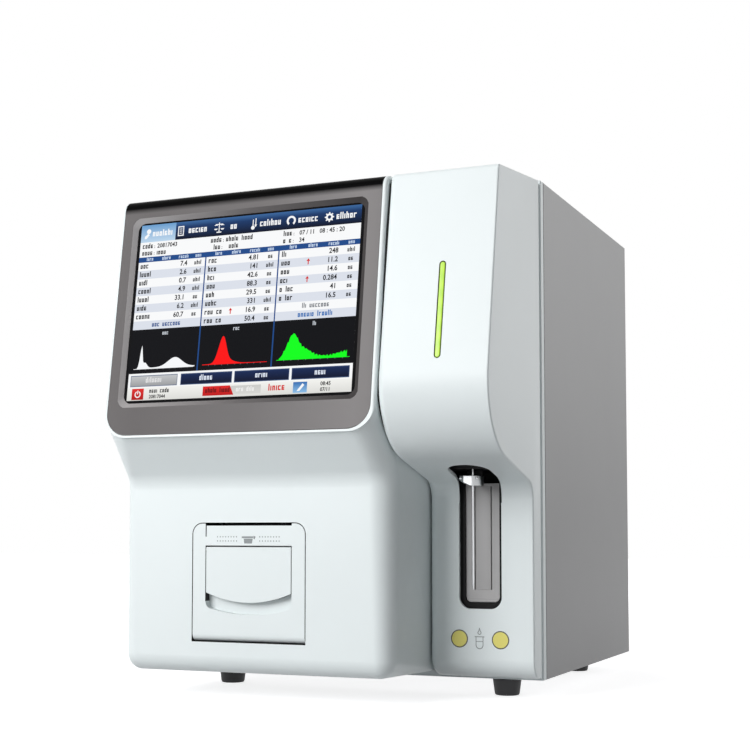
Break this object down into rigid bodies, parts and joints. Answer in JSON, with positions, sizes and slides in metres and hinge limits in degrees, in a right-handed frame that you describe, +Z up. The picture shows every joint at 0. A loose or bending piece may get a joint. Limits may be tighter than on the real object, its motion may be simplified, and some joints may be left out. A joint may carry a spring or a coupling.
{
  "type": "bench blood analyzer",
  "caption": "Bench blood analyzer with a tilted touch screen, a receipt printer behind a drop-down door, and a sampling needle in front of a slot in its tower.",
  "frame": {"origin": "on the surface that the feet stand on, under the middle of the whole box", "axes": "+Z up; -Y towards the user, who faces the screen; +X to the user's right, where the tower is"},
  "size_m": [0.3454, 0.4654, 0.444],
  "materials": {
    "white_plastic": "fine satin moulding",
    "grey_paint": "fine texture powder coat",
    "bezel_grey": "satin warm grey",
    "black_plastic": "matte black",
    "steel": "plated sheet",
    "bright_steel": "ground and polished",
    "plate_grey": "satin grey",
    "rubber": "matte",
    "green_lens": "frosted lens, lit green",
    "screen_glass": "touch glass over a lit display",
    "board_green": "circuit board",
    "paper": "thermal paper",
    "clear_plastic": "polished acrylic",
    "aluminium": "machined"
  },
  "bodies": {
    "case": {"front_frame": "white_plastic", "side_panel_left": "grey_paint", "side_panel_right": "grey_paint", "top_cover": "grey_paint", "base_tray": "steel", "rear_panel": "grey_paint", "inner_bulkhead": "steel", "tower_cover": "white_plastic", "main_cover": "white_plastic", "screen_bezel": "bezel_grey", "touch_glass": "screen_glass", "lcd_module": "steel", "display_bracket": "steel", "light_bar": "green_lens", "led_board": "board_green", "slot_liner": "black_plastic", "slot_plate": "plate_grey", "key_switch": "black_plastic", "probe_frame": "steel", "guide_rod_left": "bright_steel", "guide_rod_right": "bright_steel", "probe_motor": "black_plastic", "wipe_block": "aluminium", "door_pin": "bright_steel", "printer_frame": "black_plastic", "print_head": "aluminium", "paper_spindle": "black_plastic", "power_inlet": "black_plastic", "fan_housing": "black_plastic", "fan_guard": "steel", "diluent_port": "white_plastic", "lyse_port": "white_plastic", "cleaner_port": "white_plastic", "waste_port": "white_plastic", "data_ports": "black_plastic", "power_supply": "steel", "control_board": "board_green", "syringe_block": "aluminium", "syringe_motor": "black_plastic", "syringe_barrel": "clear_plastic", "measuring_bath": "clear_plastic", "valve_block": "clear_plastic", "waste_pump": "steel", "foot_front_left": "rubber", "foot_front_right": "rubber", "foot_rear_left": "rubber", "foot_rear_right": "rubber"},
    "door": {"printer_door": "white_plastic"},
    "flap": {"latch_flap": "white_plastic"},
    "platen": {"platen_roller": "rubber", "platen_gear": "black_plastic"},
    "roll": {"paper_roll": "paper"},
    "key": {"aspirate_key": "plate_grey"},
    "probe": {"probe_carriage": "black_plastic", "probe_needle": "bright_steel"},
    "screw": {"lead_screw": "steel"},
    "plunger": {"syringe_plunger": "bright_steel"},
    "fan": {"fan_rotor": "black_plastic"},
    "switch": {"power_switch": "black_plastic"}
  },
  "joints": [
    {"name": "printer_door", "type": "hinge", "parent": "case", "child": "door", "pos_m": [-0.05062, -0.19175, 0.0543], "axis": [1, 0, 0], "range_deg": [0, 75]},
    {"name": "latch_flap", "type": "hinge", "parent": "door", "child": "flap", "pos_m": [-0.05062, -0.19565, 0.1261], "axis": [-1, 0, 0], "range_deg": [0, 30], "stiffness_Nm_per_rad": 0.02},
    {"name": "platen_spin", "type": "hinge", "parent": "door", "child": "platen", "pos_m": [-0.05062, -0.18625, 0.138], "axis": [1, 0, 0], "continuous": true},
    {"name": "paper_roll_spin", "type": "hinge", "parent": "case", "child": "roll", "pos_m": [-0.05062, -0.15945, 0.089], "axis": [1, 0, 0], "continuous": true},
    {"name": "aspirate_key", "type": "hinge", "parent": "case", "child": "key", "pos_m": [0.12575, -0.10245, 0.092], "axis": [-1, 0, 0], "range_deg": [0, 1.5], "stiffness_Nm_per_rad": 2},
    {"name": "probe_lift", "type": "slide", "parent": "case", "child": "probe", "axis": [0, 0, 1], "range_m": [0, 0.1]},
    {"name": "lead_screw_turn", "type": "hinge", "parent": "case", "child": "screw", "pos_m": [0.12575, -0.09125, 0.19], "axis": [0, 0, 1], "range_deg": [0, 1800]},
    {"name": "syringe_stroke", "type": "slide", "parent": "case", "child": "plunger", "axis": [0, 0, -1], "range_m": [0, 0.03]},
    {"name": "fan_spin", "type": "hinge", "parent": "case", "child": "fan", "pos_m": [-0.08925, 0.20075, 0.344], "axis": [0, 1, 0], "continuous": true},
    {"name": "power_switch", "type": "hinge", "parent": "case", "child": "switch", "pos_m": [0.08775, 0.21155, 0.081], "axis": [1, 0, 0], "range_deg": [0, 16]}
  ],
  "couplings": [
    {"joint": "lead_screw_turn", "follows": "probe_lift", "rad_per_m": 314.16}
  ]
}
